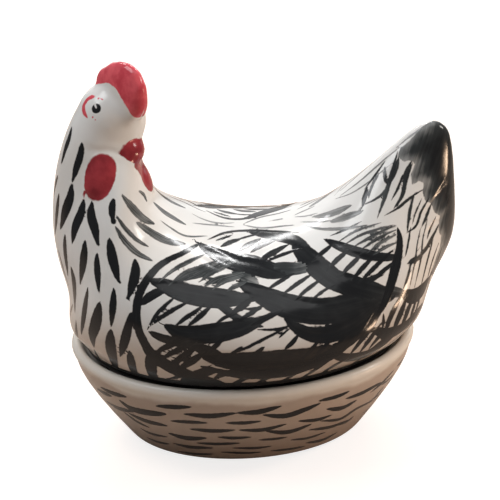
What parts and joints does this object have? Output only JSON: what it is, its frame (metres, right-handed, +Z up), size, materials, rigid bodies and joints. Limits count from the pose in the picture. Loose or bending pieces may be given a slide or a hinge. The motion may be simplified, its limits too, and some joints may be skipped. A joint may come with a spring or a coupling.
{
  "type": "hen egg holder",
  "caption": "Glazed pottery covered dish: an oval nest bowl with a rolled rim, and a hollow sitting hen that lifts off as its lid.",
  "frame": {"origin": "middle of the dish's flat underside, on the surface that the object stands on", "axes": "+Z up, +X towards the hen's tail, the long way of the oval; the breast is at -X and the turned face looks over the -Y side"},
  "size_m": [0.2468, 0.1748, 0.2496],
  "materials": {
    "dish_glaze": "glossy clear glaze over a cream body with short black brush dashes",
    "hen_glaze": "glossy clear glaze over white with black brushed feathers and a red comb, beak and wattles"
  },
  "bodies": {
    "dish": {"nest_dish": "dish_glaze"},
    "lid": {"hen_lid": "hen_glaze"}
  },
  "joints": [
    {"name": "lid_lift", "type": "slide", "parent": "dish", "child": "lid", "axis": [0, 0, 1], "range_m": [0, 0.12]}
  ]
}
